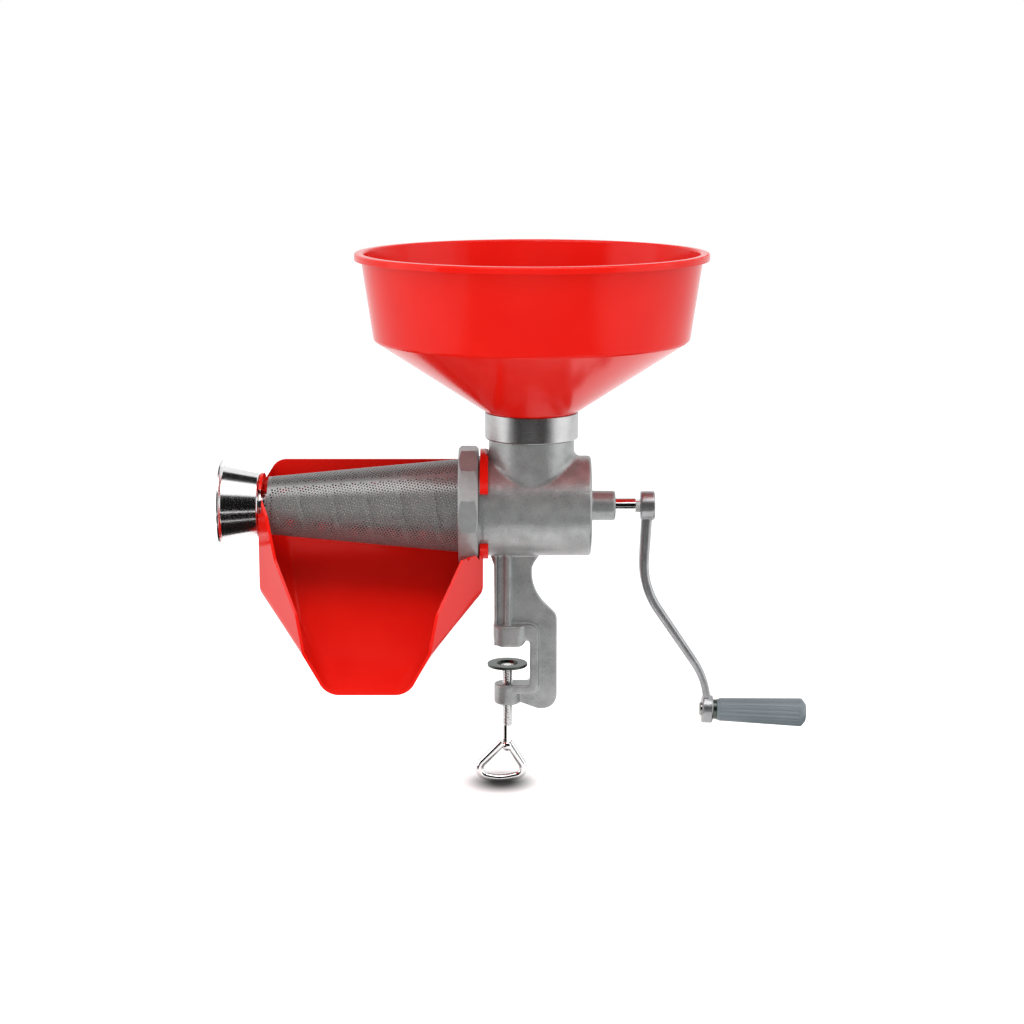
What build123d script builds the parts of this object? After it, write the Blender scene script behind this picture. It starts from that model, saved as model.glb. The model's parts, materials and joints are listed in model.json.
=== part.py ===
"""Tomato strainer with crank: a clamp-on barrel, auger, perforated cone, hopper and chute.

Millimetres. The origin is the centre of the upper jaw's underside, on the clamp screw's axis.
+X runs along the barrel to the crank, -Y faces the user and +Z is up.
"""
from build123d import *
import math
import os

# ---- fits ----------------------------------------------------------------------------------
RUN_FIT = 0.05        # radial clearance of a shaft or thread in its bore
FACE_GAP = 0.2        # gap between faces that turn past each other
SLIP_FIT = 0.3        # radial clearance of parts that are pushed together by hand

# ---- body casting: barrel, throat and rear boss ----------------------------------------------
AXIS_Z = 128.0        # height of the barrel's axis above the upper jaw's underside
BARREL_R = 45.0
BARREL_WALL = 5.0
BARREL_X0 = -21.8     # shoulder behind the threaded nose
BARREL_X1 = 75.0      # rear face
BARREL_ROUND = 3.0
REAR_WALL = 7.0
NOSE_STEP = 0.4       # the nose is turned this much below the barrel
NOSE_LEN = 14.3
BOSS_R = 13.4
BOSS_LEN = 22.0
BOSS_CHAMFER = 1.2
NECK_X = 21.7
NECK_R = 38.2
NECK_RISE = 62.0      # top of the neck above the barrel's axis
THROAT_WALL = 4.0
NECK_BLEND = 6.0

# ---- hopper collar and hopper ----------------------------------------------------------------
COLLAR_R = 41.65
COLLAR_H = 23.6
COLLAR_WALL = 4.0
COLLAR_SEAT = 4.0     # height of the turned spigot inside the collar
HOPPER_WALL = 2.5
HOPPER_SEAT_W = 3.0   # flat ring under the funnel that rests on the collar
HOPPER_FOLD_R = 140.0
HOPPER_FUNNEL_H = 65.4
HOPPER_BOWL_H = 76.0
HOPPER_TOP_R = 150.6
HOPPER_FOLD_ROUND = 4.0
LIP_W = 5.6
LIP_DROP = 6.0
LIP_ROUND = 2.2

# ---- strainer cone, nut and outlet -----------------------------------------------------------
GASKET_T = 2.0
FLANGE_T = 2.5
NUT_LIP = 2.8
NUT_WALL = 7.55       # metal over the thread at the flats
NUT_SIDES = 12
NUT_BACK = 10.3       # length of thread behind the gasket
NUT_CHAMFER = 2.6
CONE_STEP = 2.1       # the cone's big end is this much wider than the barrel's bore
CONE_R_SMALL = 26.0
CONE_LEN = 173.0
CONE_T = 0.8
FLANGE_LIP = 2.0      # how far the flange stands out over the cone
OUTLET_R = 16.0
OUTLET_WALL = 2.0
DOME_LEN = 4.2
OUTLET_LEN = 16.0     # from the cone's end to the end of the outlet neck
BELL_R_SMALL = 28.8
BELL_R_BIG = 35.5
BELL_RIM_R = 41.0
BELL_LEN = 35.4
BELL_T = 1.4
BELL_RIM_T = 2.6
BELL_START = 8.0      # from the cone's end to the bell's base

# ---- chute -----------------------------------------------------------------------------------
CHUTE_WALL = 2.5
CHUTE_END_GAP = 0.5   # end wall to the dome of the cone's end ring
CHUTE_BACK_Y = 78.0
CHUTE_RIM_RISE = 29.0     # back rim above the barrel's axis
CHUTE_CORNER_R = 15.0
CHUTE_RING_W = 7.2
CHUTE_RING_T = 6.0
CHUTE_RING_OPEN = (-37.0, 23.0)   # degrees below and above the horizontal, on the user's side
CHUTE_EAR_R = 29.5
CHUTE_SLOT_TILT = 18.0    # degrees, the clip's mouth turned up from the horizontal
CHUTE_CLIP_MOUTH = 22.0   # the end wall's clip is narrower than the neck it snaps on
CHUTE_NUT_ROOM = 1.2
CHUTE_NUT_CUT = 37.0      # the wall in front of the nut ends this far below the axis
KNEE_Y = -30.0            # where the floor turns from the end walls towards the spout
TIP_Y = -125.0            # where the spout's sides would end if it weren't cut off
BACK_CREASE = 30.0        # drop of the crease and of the floor below the axis, at the back
BACK_FLOOR = 42.0
BACK_FLOOR_IN = 11.0      # the floor is this much narrower than the walls on each side
KNEE_CREASE = 74.0
KNEE_FLOOR = 104.0
KNEE_FLOOR_IN = 36.0
TIP_CREASE = 120.0
TIP_FLOOR = 159.0
TIP_TOP_HALF = 53.0       # half widths of the spout at its tip
TIP_CREASE_HALF = 44.0
TIP_FLOOR_HALF = 29.0
SPOUT_Y = -104.0          # where the spout is cut off
SPOUT_LIP = 78.0          # height of the spout's side lips, below the axis
SPOUT_NOSE = 105.0        # from here down the spout's end is upright
RIM_FALL_Y = -45.0        # the sloping rim passes the axis's height here
RIM_NUT_Y = -60.0         # and the nut's cut here

# ---- drive line ------------------------------------------------------------------------------
SHAFT_R = 6.9
SHAFT_OUT = 18.0      # round shaft beyond the boss
SQUARE_AF = 10.3
SQUARE_NECK = 4.5     # bare square between the round shaft and the hub
SQUARE_CLEAR = 0.05
BUSH_WALL = 3.0
BUSH_FLANGE_R = 13.0
BUSH_FLANGE_T = 2.0
SEAL_T = 2.0
THRUST_T = 2.0
SHAFT_COLLAR_R = 12.0
SHAFT_COLLAR_T = 3.0
SPRING_WIRE = 2.5
SPRING_TURNS = 5
SPRING_LEN = 24.0
TONGUE_AF = 10.0      # square end of the shaft in the auger
TONGUE_LEN = 34.0
PIN_R = 2.0
AUGER_HUB_R = 15.0
AUGER_TIP_R = 10.5
AUGER_CLEAR = 1.5     # between the flight and the bore or the cone
AUGER_PITCH = 30.0
AUGER_FLIGHT_T = 4.0
AUGER_TIP_GAP = 3.0   # from the auger's tip to the cone's end

# ---- crank and grip --------------------------------------------------------------------------
HUB_R = 13.0
HUB_W = 13.0
HUB_RECESS_R = 8.2
HUB_RECESS = 5.5
CRANK_SCREW_R = 3.0
CRANK_SCREW_LEN = 16.0
SCREW_HEAD_R = 5.5
SCREW_HEAD_H = 3.4
SCREW_SLOT_W = 1.6
CRANK_WASHER_T = 1.3
CRANK_THROW = 190.0
CRANK_OFFSET = 56.8   # pin boss centre beyond the hub's centre, along X
CRANK_T = 9.8         # arm's thickness and width at the hub, and at the pin
CRANK_W = 16.0
CRANK_TIP_T = 6.4
CRANK_TIP_W = 13.0
CRANK_EDGE = 0.42     # rounding of the arm's edges as a share of its thickness
HUB_ROUND = 1.3
CRANK_KNEE_1 = (-4.0, 74.0)    # offset along X and drop of the upper bend
CRANK_KNEE_2 = (55.6, 162.0)   # and of the lower bend
CRANK_BEND_1 = 78.0
CRANK_BEND_2 = 72.0
PIN_BOSS_R = 12.7
PIN_BOSS_W = 9.8
GRIP_TILT = 2.2       # degrees, outer end down
GRIP_PIN_R = 4.0
GRIP_PIN_LEN = 62.0
GRIP_PIN_BEAD = 0.5
RIVET_R = 6.0
RIVET_H = 2.3
GRIP_WASHER_T = 3.2
GRIP_WASHER_R = 9.0
GRIP_LEN = 82.0
GRIP_R_IN = 9.6
GRIP_R_OUT = 12.9
GRIP_FLUTES = 20
GRIP_FLUTE_R = 1.5
GRIP_COLLAR_LEN = 1.5

# ---- table clamp -----------------------------------------------------------------------------
REACH = 20.4          # throat depth behind the screw's axis
JAW_GAP = 37.0
BACK_W = 24.6
WEB_T = 8.0
RIM_D = 22.0          # depth of the C's rim, front to back
RIM_W = 8.0
RIM_BEND = 9.0        # radius of the rim's bends
EDGE_SOFT = 1.2       # rounding of the casting's free edges
SEAT_STEP = 0.4       # the foot stands proud of the rim by this at the table
COLUMN_X0 = -12.0
COLUMN_X1 = 22.3
COLUMN_FLANGE_W = 3.0
COLUMN_FLANGE_D = 16.0
COLUMN_FLARE = 5.0    # the column widens by this at the barrel
FLARE_BEND = 13.0
SHOULDER_BEND = 40.0
BACK_BEND = 13.0
RIB_X0 = -2.6
RIB_W = 5.9
COLUMN_STRAIGHT = 23.0    # upright back of the column between its flare and the shoulder
SHOULDER_DROP = 23.0      # height of the slanted shoulder below that
FOOT_X0 = -12.8
FOOT_W = 30.0
FOOT_D = 30.0
FOOT_H = 19.0
FOOT_CORNER_R = 10.0  # upright corners
FOOT_SIDE_R = 7.5     # rounding of the foot's lower left and right edges
LOWER_JAW_H = 19.0
LOWER_DROP = 5.0      # the C's back reaches this far below the lower jaw
LOWER_BOSS_R = 12.0
SCREW_R = 4.75
SHANK_R = 4.1
THREAD_LEN = 54.0
SCREW_LEN = 70.0
THREAD_CHAMFER = 0.7
PAD_DROP = 18.2       # pad's top face below the upper jaw, as shown
PAD_R = 18.2
PAD_RING_T = 3.0
PAD_RIM_T = 2.4
PAD_WEB_T = 1.3
PAD_HUB_R = 9.0
PAD_EDGE = 0.5
STEM_R = 3.4
RETAINER_R = 6.0
RETAINER_T = 1.2
BOW_WIRE_R = 3.9
BOW_LEFT_X = -33.5    # where the bow's straights would meet, left and right
BOW_RIGHT_X = 19.3
BOW_TOP_LEFT = -4.5   # the legs start beside and under the screw's end
BOW_TOP_RIGHT = 1.2
BOW_TOP_DROP = 1.2
BOW_H = 35.0
BOW_SAG = 5.5
BOW_BEND = 8.0
BOW_BELLY = 40.0      # radius of the bottom bar's slight bend

# ---- places worked out from the sizes above ----------------------------------------------------
BORE_R = BARREL_R - BARREL_WALL
NOSE_R = BARREL_R - NOSE_STEP
NOSE_X = BARREL_X0 - NOSE_LEN
INNER_REAR_X = BARREL_X1 - REAR_WALL
BOSS_X1 = BARREL_X1 + BOSS_LEN
THROAT_R = NECK_R - THROAT_WALL
NECK_TOP_Z = AXIS_Z + NECK_RISE
COLLAR_TOP_Z = NECK_TOP_Z + COLLAR_H
COLLAR_BORE_R = COLLAR_R - COLLAR_WALL
FLANGE_X1 = NOSE_X - GASKET_T
FLANGE_X0 = FLANGE_X1 - FLANGE_T
NUT_X0 = FLANGE_X0 - NUT_LIP
NUT_AF = 2 * (NOSE_R + NUT_WALL)
NUT_CORNER_R = NUT_AF / 2 / math.cos(math.pi / NUT_SIDES)
NUT_X1 = NOSE_X + NUT_BACK
NUT_BORE_R = NOSE_R + RUN_FIT
CONE_R_BIG = BORE_R + CONE_STEP
CONE_TAPER = (CONE_R_BIG - CONE_R_SMALL) / CONE_LEN
CONE_END_X = FLANGE_X0 - CONE_LEN
OUTLET_BORE_R = OUTLET_R - OUTLET_WALL
OUTLET_X0 = CONE_END_X - OUTLET_LEN
BELL_X1 = CONE_END_X - BELL_START
BELL_X0 = BELL_X1 - BELL_LEN
CHUTE_X1 = BARREL_X0 + FACE_GAP
CHUTE_X0 = CONE_END_X - DOME_LEN - CHUTE_END_GAP - CHUTE_WALL
CHUTE_HALF = (CHUTE_X1 - CHUTE_X0) / 2
CHUTE_X = (CHUTE_X1 + CHUTE_X0) / 2
BUSH_BORE_R = SHAFT_R + RUN_FIT
BUSH_R = BUSH_BORE_R + BUSH_WALL
THRUST_X1 = INNER_REAR_X - BUSH_FLANGE_T - FACE_GAP
THRUST_X0 = THRUST_X1 - THRUST_T
SHAFT_COLLAR_X0 = THRUST_X0 - SHAFT_COLLAR_T
AUGER_X1 = SHAFT_COLLAR_X0 - SPRING_LEN
AUGER_X0 = CONE_END_X + AUGER_TIP_GAP
ROUND_X1 = BOSS_X1 + SHAFT_OUT
HUB_X0 = ROUND_X1 + SQUARE_NECK
HUB_X1 = HUB_X0 + HUB_W
HUB_X = (HUB_X0 + HUB_X1) / 2
RECESS_X = HUB_X1 - HUB_RECESS
SHAFT_END_X = RECESS_X - SLIP_FIT
PIN_X = HUB_X + CRANK_OFFSET
PIN_Z = AXIS_Z - CRANK_THROW
BACK_X1 = REACH + BACK_W
SCREW_TOP_Z = -(PAD_DROP + PAD_RING_T + PAD_WEB_T) - FACE_GAP
BOW_TOP_Z = SCREW_TOP_Z - SCREW_LEN


# ---- helpers -----------------------------------------------------------------------------------
def rod_x(x0, x1, radius, z=AXIS_Z):
    """Cylinder along X from x0 to x1, centred on the barrel's axis."""
    return Pos((x0 + x1) / 2, 0, z) * Rot(0, 90, 0) * Cylinder(radius, x1 - x0)


def tube_x(x0, x1, r_out, r_in):
    return rod_x(x0, x1, r_out) - rod_x(x0, x1, r_in)


def turned_x(points, rounds=0):
    """Solid turned about the barrel's axis from (x, radius) points."""
    face = make_face(FilletPolyline(*points, radius=rounds, close=True))
    return Pos(0, 0, AXIS_Z) * revolve(Plane.XZ * face, Axis.X)


def turned_z(points, x=0.0, rounds=0):
    """Solid turned about the upright through x from (radius, z) points."""
    face = make_face(FilletPolyline(*points, radius=rounds, close=True))
    return Pos(x, 0, 0) * revolve(Plane.XZ * face, Axis.Z)


def rod_z(z0, z1, radius, x=0.0):
    return Pos(x, 0, (z0 + z1) / 2) * Cylinder(radius, z1 - z0)


def plate_y(points, depth, rounds=0):
    """Flat piece with an (x, z) outline, centred on the plane of the barrel's axis."""
    face = make_face(FilletPolyline(*points, radius=rounds, close=True))
    return extrude(Plane.XZ * face, depth / 2, both=True)


def block(x0, x1, y0, y1, z0, z1):
    return Pos((x0 + x1) / 2, (y0 + y1) / 2, (z0 + z1) / 2) * Box(x1 - x0, y1 - y0, z1 - z0)


def square_x(x0, x1, across_flats):
    return Pos((x0 + x1) / 2, 0, AXIS_Z) * Box(x1 - x0, across_flats, across_flats)


def cone_radius(x):
    """Outside radius of the strainer cone at x."""
    return CONE_R_BIG - CONE_TAPER * (FLANGE_X0 - x)


def on_grip_axis(shape):
    """Place a shape made along +X from the pin boss's centre on the tilted grip axis."""
    return Pos(PIN_X, 0, PIN_Z) * Rot(0, GRIP_TILT, 0) * shape


# ---- body casting ------------------------------------------------------------------------------
def clamp_frame():
    """Column, C-shaped frame and jaws below the barrel."""
    root_z = AXIS_Z - BARREL_R + BARREL_WALL
    neck_z = root_z - BARREL_WALL - 2 * COLUMN_FLARE
    shoulder_z = neck_z - COLUMN_STRAIGHT
    jaw_low = -JAW_GAP - LOWER_JAW_H
    web = plate_y(
        [
            (COLUMN_X0 - COLUMN_FLARE, root_z),
            (COLUMN_X0, neck_z),
            (COLUMN_X0, FOOT_H / 2),
            (REACH, FOOT_H / 2),
            (REACH, -JAW_GAP - RIM_W / 2),
            (0, -JAW_GAP - RIM_W / 2),
            (0, jaw_low + EDGE_SOFT),
            (LOWER_BOSS_R, jaw_low + EDGE_SOFT),
            (REACH + RIM_W, jaw_low - LOWER_DROP),
            (BACK_X1, jaw_low - LOWER_DROP + EDGE_SOFT),
            (BACK_X1, shoulder_z - SHOULDER_DROP),
            (COLUMN_X1, shoulder_z),
            (COLUMN_X1, neck_z),
            (COLUMN_X1 + 2 * COLUMN_FLARE, root_z),
        ],
        WEB_T,
        rounds=[0, RIM_BEND, 0, 0, 0, 0, 0, RIM_BEND / 2, RIM_BEND, BACK_BEND, RIM_BEND,
                SHOULDER_BEND, FLARE_BEND, 0],
    )
    faces = web.edges().group_by(Axis.Y)
    web = fillet(faces[0] + faces[-1], EDGE_SOFT)
    rim = plate_y(
        [
            (COLUMN_X0, SEAT_STEP),
            (REACH / 2, SEAT_STEP),
            (REACH, SEAT_STEP + RIM_W),
            (REACH, -JAW_GAP),
            (0, -JAW_GAP),
            (0, -JAW_GAP - RIM_W),
            (REACH + RIM_W, -JAW_GAP - RIM_W),
            (REACH + RIM_W, FOOT_H + SEAT_STEP),
            (COLUMN_X0, FOOT_H + SEAT_STEP),
        ],
        RIM_D,
        rounds=[0, RIM_BEND / 2, RIM_BEND / 3, RIM_BEND / 4, 0, 0, RIM_BEND, RIM_BEND, 0],
    )
    rib = block(RIB_X0, RIB_X0 + RIB_W, -RIM_D / 2, RIM_D / 2, FOOT_H / 2, AXIS_Z - BORE_R)
    rib = fillet(rib.edges().filter_by(Axis.Z), RIB_W / 3)
    side = block(COLUMN_X0, COLUMN_X0 + COLUMN_FLANGE_W, -COLUMN_FLANGE_D / 2, COLUMN_FLANGE_D / 2,
                 FOOT_H / 2, AXIS_Z - BORE_R)
    side = fillet(side.edges().filter_by(Axis.Z), COLUMN_FLANGE_W / 3)
    foot_x1 = FOOT_X0 + FOOT_W
    foot = plate_y(
        [(FOOT_X0, 0), (foot_x1, 0), (foot_x1, FOOT_H), (FOOT_X0, FOOT_H)],
        FOOT_D,
        rounds=[FOOT_SIDE_R, FOOT_SIDE_R, 0, 0],
    )
    upright = block(FOOT_X0, foot_x1, -FOOT_D / 2, FOOT_D / 2, -1, FOOT_H)
    foot = foot & fillet(upright.edges().filter_by(Axis.Z), FOOT_CORNER_R)
    boss = rod_z(jaw_low, -JAW_GAP, LOWER_BOSS_R)
    boss = fillet(boss.edges().group_by(Axis.Z)[0], 2 * EDGE_SOFT)
    return web + rim + rib + side + foot + boss


def body_casting():
    barrel = rod_x(BARREL_X0, BARREL_X1, BARREL_R)
    barrel = fillet(barrel.edges().group_by(Axis.X)[-1], BARREL_ROUND)
    neck = rod_z(AXIS_Z, NECK_TOP_Z, NECK_R, x=NECK_X)
    body = barrel + neck
    body = fillet(new_edges(barrel, neck, combined=body), NECK_BLEND)
    boss = rod_x(INNER_REAR_X, BOSS_X1, BOSS_R)
    boss = chamfer(boss.edges().group_by(Axis.X)[-1], BOSS_CHAMFER)
    body += boss + rod_x(NOSE_X, BARREL_X0 + 1, NOSE_R) + clamp_frame()
    body += rod_z(NECK_TOP_Z, NECK_TOP_Z + COLLAR_SEAT, COLLAR_BORE_R - RUN_FIT, x=NECK_X)
    body -= rod_x(NOSE_X - 1, INNER_REAR_X, BORE_R)
    body -= rod_z(AXIS_Z, NECK_TOP_Z + COLLAR_SEAT + 1, THROAT_R, x=NECK_X)
    body -= rod_x(INNER_REAR_X - 1, BOSS_X1 + 1, BUSH_R)
    body -= rod_z(-JAW_GAP - LOWER_JAW_H - 1, -JAW_GAP + 1, SCREW_R + RUN_FIT)
    return body


# ---- hopper ------------------------------------------------------------------------------------
def hopper_collar():
    low = NECK_TOP_Z
    ring = turned_z(
        [(COLLAR_BORE_R, low), (COLLAR_R, low), (COLLAR_R, COLLAR_TOP_Z), (COLLAR_BORE_R, COLLAR_TOP_Z)],
        x=NECK_X,
        rounds=[0, 1.2, 0.8, 0.5],
    )
    return ring


def hopper():
    spigot_r = COLLAR_BORE_R - SLIP_FIT
    spigot_z = NECK_TOP_Z + COLLAR_SEAT + 1
    seat_z = COLLAR_TOP_Z
    seat_r = COLLAR_BORE_R + HOPPER_SEAT_W
    fold_z = seat_z + HOPPER_FUNNEL_H
    top_z = fold_z + HOPPER_BOWL_H
    lip_r = HOPPER_TOP_R + LIP_W
    wall = HOPPER_WALL
    slope = math.atan2(HOPPER_FUNNEL_H, HOPPER_FOLD_R - seat_r)
    rise = wall / math.cos(slope)
    bore = spigot_r - wall
    throat_z = seat_z + rise - (seat_r - bore) * math.tan(slope)
    fold_in_z = fold_z + rise - wall * math.tan(slope)
    round_in = HOPPER_FOLD_ROUND - wall
    points = [
        (bore, spigot_z),
        (spigot_r, spigot_z),
        (spigot_r, seat_z),
        (seat_r, seat_z),
        (HOPPER_FOLD_R, fold_z),
        (HOPPER_TOP_R, top_z - wall),
        (lip_r - wall, top_z - wall),
        (lip_r - wall, top_z - LIP_DROP),
        (lip_r, top_z - LIP_DROP),
        (lip_r, top_z),
        (HOPPER_TOP_R - wall, top_z),
        (HOPPER_FOLD_R - wall, fold_in_z),
        (bore, max(throat_z, spigot_z + wall)),
    ]
    rounds = [0, 0.6, 0, 0.5, HOPPER_FOLD_ROUND, 0.5, 1, 0.4, 0.4, LIP_ROUND, 2, round_in, 2]
    return turned_z(points, x=NECK_X, rounds=rounds)


# ---- strainer ----------------------------------------------------------------------------------
def flange_gasket():
    return tube_x(NOSE_X - GASKET_T, NOSE_X, cone_radius(FLANGE_X0) + FLANGE_LIP, BORE_R)


def strainer_mouth_ring():
    return tube_x(FLANGE_X0, FLANGE_X1, cone_radius(FLANGE_X0) + FLANGE_LIP, BORE_R)


def strainer_cone():
    return turned_x([
        (CONE_END_X, CONE_R_SMALL - CONE_T),
        (CONE_END_X, CONE_R_SMALL),
        (FLANGE_X0, CONE_R_BIG),
        (FLANGE_X0, CONE_R_BIG - CONE_T),
    ])


def strainer_end_ring():
    """Domed end of the cone with the outlet neck."""
    face_in = CONE_R_SMALL - CONE_T
    return turned_x(
        [
            (OUTLET_X0, OUTLET_BORE_R),
            (OUTLET_X0, OUTLET_R),
            (CONE_END_X - DOME_LEN, OUTLET_R),
            (CONE_END_X - DOME_LEN, (OUTLET_R + CONE_R_SMALL) / 2),
            (CONE_END_X, CONE_R_SMALL),
            (CONE_END_X, face_in - 2),
            (CONE_END_X - DOME_LEN / 2, OUTLET_BORE_R),
        ],
        rounds=[0, 0.5, 1, 3, 0, 0, 1],
    )


def waste_bell():
    """Flared outlet bell, closed behind by a ring that grips the neck."""
    slope_t = BELL_T
    return turned_x(
        [
            (BELL_X0, BELL_R_BIG - slope_t),
            (BELL_X0, BELL_RIM_R),
            (BELL_X0 + BELL_RIM_T, BELL_RIM_R),
            (BELL_X0 + BELL_RIM_T, BELL_R_BIG),
            (BELL_X1, BELL_R_SMALL),
            (BELL_X1, OUTLET_R + RUN_FIT),
            (BELL_X1 - 2 * BELL_T, OUTLET_R + RUN_FIT),
            (BELL_X1 - 2 * BELL_T, BELL_R_SMALL - slope_t),
        ],
        rounds=[1, 1, 1, 1.5, 2, 0, 0, 1],
    )


def ring_nut():
    """Twelve-sided nut with flats on top, in front and below."""
    outline = RegularPolygon(NUT_AF / 2, NUT_SIDES, major_radius=False, rotation=180 / NUT_SIDES)
    middle = (NUT_X0 + NUT_X1) / 2
    nut = extrude(Plane.YZ.offset(middle) * outline, (NUT_X1 - NUT_X0) / 2, both=True)
    nut = Pos(0, 0, AXIS_Z) * nut
    chamfered = turned_x([
        (NUT_X0, 0),
        (NUT_X0, NUT_CORNER_R - NUT_CHAMFER),
        (NUT_X0 + NUT_CHAMFER, NUT_CORNER_R),
        (NUT_X1 - NUT_CHAMFER, NUT_CORNER_R),
        (NUT_X1, NUT_CORNER_R - NUT_CHAMFER),
        (NUT_X1, 0),
    ])
    nut = nut & chamfered
    nut -= rod_x(NUT_X0 - 1, NUT_X1 + 1, cone_radius(FLANGE_X0) + SLIP_FIT)
    return nut - rod_x(FLANGE_X0, NUT_X1 + 1, NUT_BORE_R)


# ---- chute -------------------------------------------------------------------------------------
def trough(inset):
    """Block whose faces are the trough's walls, moved in by inset.

    Three sections across it: at the back, at the knee and at the spout's tip.
    """
    half = CHUTE_HALF
    soft = CHUTE_CORNER_R
    sections = [
        (CHUTE_BACK_Y - inset, half, half, BACK_CREASE, half - BACK_FLOOR_IN, BACK_FLOOR, soft / 2),
        (KNEE_Y, half, half, KNEE_CREASE, half - KNEE_FLOOR_IN, KNEE_FLOOR, soft),
        (TIP_Y, TIP_TOP_HALF, TIP_CREASE_HALF, TIP_CREASE, TIP_FLOOR_HALF, TIP_FLOOR, 1.4 * soft),
    ]
    faces = []
    for y, top_half, crease_half, crease_drop, floor_half, floor_drop, bend in sections:
        top = (top_half - inset, CHUTE_RIM_RISE + 2 * CHUTE_WALL)
        crease = (crease_half - inset, inset / 2 - crease_drop)
        floor = (floor_half - inset / 2, inset - floor_drop)
        right = [top, crease, floor]
        left = [(-x, z) for x, z in reversed(right)]
        outline = FilletPolyline(*right, *left, radius=[0, bend, bend, bend, bend, 0], close=True)
        plane = Plane(origin=(CHUTE_X, y, AXIS_Z), x_dir=(1, 0, 0), z_dir=(0, -1, 0))
        faces.append(plane * make_face(outline))
    return loft(faces, ruled=True)


def chute_front_cut():
    """Everything above and in front of the chute's sloping rim."""
    back = CHUTE_BACK_Y + 2 * CHUTE_WALL
    over = 2 * CHUTE_BACK_Y
    soft = CHUTE_CORNER_R
    points = [
        (back, CHUTE_RIM_RISE),
        (KNEE_Y + soft, CHUTE_RIM_RISE),
        (RIM_FALL_Y, 0),
        (RIM_NUT_Y, -CHUTE_NUT_CUT),
        (SPOUT_Y + soft / 2, -SPOUT_LIP),
        (SPOUT_Y, -SPOUT_NOSE),
        (SPOUT_Y, -TIP_FLOOR - over),
        (TIP_Y - over, -TIP_FLOOR - over),
        (TIP_Y - over, over),
        (back, over),
    ]
    face = make_face(FilletPolyline(*points, radius=[0, soft / 2, soft, soft, soft, soft, 0, 0, 0, 0],
                                    close=True))
    reach = CHUTE_HALF + over
    return Pos(CHUTE_X, 0, AXIS_Z) * extrude(Plane.YZ * face, reach, both=True)


def sector(radius, width, x, low, high):
    """Wedge about the barrel's axis on the user's side, between two angles from horizontal."""
    a, b = math.radians(low), math.radians(high)
    far = radius / math.cos((b - a) / 2)
    points = [(0, 0)]
    for r, t in ((radius, a), (far, (a + b) / 2), (radius, b)):
        points.append((-r * math.cos(t), r * math.sin(t)))
    face = make_face(Polyline(*points, close=True))
    return Pos(x, 0, AXIS_Z) * extrude(Plane.YZ * face, width / 2, both=True)


def chute_clip():
    """Opening in the end wall: round for the outlet neck, with a narrower mouth to the front."""
    slot_x = CHUTE_X0 + CHUTE_WALL / 2
    mouth = Pos(slot_x, -CHUTE_EAR_R, 0) * Box(2 * CHUTE_WALL, 2 * CHUTE_EAR_R, CHUTE_CLIP_MOUTH)
    seat = Pos(slot_x, 0, 0) * Rot(0, 90, 0) * Cylinder(OUTLET_R + SLIP_FIT, 2 * CHUTE_WALL)
    return Pos(0, 0, AXIS_Z) * Rot(-CHUTE_SLOT_TILT, 0, 0) * (mouth + seat)


def sauce_chute():
    shell = trough(0) - trough(CHUTE_WALL) - chute_front_cut()
    corner_x = CHUTE_X0 + CHUTE_CORNER_R
    corner_z = AXIS_Z + CHUTE_RIM_RISE - CHUTE_CORNER_R
    room = block(CHUTE_X0 - CHUTE_WALL, corner_x, -CHUTE_BACK_Y, 2 * CHUTE_BACK_Y, corner_z,
                 corner_z + 2 * CHUTE_CORNER_R)
    room -= Pos(corner_x, 0, corner_z) * Rot(90, 0, 0) * Cylinder(CHUTE_CORNER_R, 5 * CHUTE_BACK_Y)
    shell -= room
    shell += rod_x(CHUTE_X0, CHUTE_X0 + CHUTE_WALL, CHUTE_EAR_R)
    ring_x0 = CHUTE_X1 - CHUTE_WALL
    ring_x1 = ring_x0 + CHUTE_RING_W
    ring_x = (ring_x0 + ring_x1) / 2
    ring_bore = BARREL_R + SLIP_FIT
    ring_out = ring_bore + CHUTE_RING_T
    shell += rod_x(ring_x0, ring_x1, ring_out)
    shell -= rod_x(ring_x0 - 2 * CHUTE_WALL, ring_x1 + CHUTE_RING_W, ring_bore)
    shell -= sector(ring_out + CHUTE_CORNER_R, 4 * CHUTE_RING_W, ring_x, *CHUTE_RING_OPEN)
    shell -= block(CHUTE_X1, ring_x1 + 1, -ring_out, ring_out, AXIS_Z - ring_out - 1,
                   AXIS_Z - BARREL_R + CHUTE_WALL)
    blend_r = NECK_R + 0.75 * NECK_BLEND
    shell -= rod_z(AXIS_Z, AXIS_Z + 2 * ring_out, blend_r, x=NECK_X)
    shell -= chute_clip()
    nut_x0 = NUT_X0 - CHUTE_NUT_ROOM
    nut_x1 = NUT_X1 + CHUTE_NUT_ROOM
    shell -= rod_x(nut_x0, nut_x1, NUT_CORNER_R + CHUTE_NUT_ROOM)
    return shell - block(nut_x0, nut_x1, TIP_Y, KNEE_Y, AXIS_Z - CHUTE_NUT_CUT, AXIS_Z + 2 * ring_out)


# ---- drive line --------------------------------------------------------------------------------
def shaft_bush():
    bush = rod_x(INNER_REAR_X, BOSS_X1 - SEAL_T, BUSH_R)
    bush += rod_x(INNER_REAR_X - BUSH_FLANGE_T, INNER_REAR_X, BUSH_FLANGE_R)
    return bush - rod_x(INNER_REAR_X - BUSH_FLANGE_T - 1, BOSS_X1, BUSH_BORE_R)


def shaft_seal():
    return tube_x(BOSS_X1 - SEAL_T, BOSS_X1, BUSH_R, BUSH_BORE_R)


def thrust_washer():
    return tube_x(THRUST_X0, THRUST_X1, SHAFT_COLLAR_R + 1, SHAFT_R + RUN_FIT)


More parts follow.
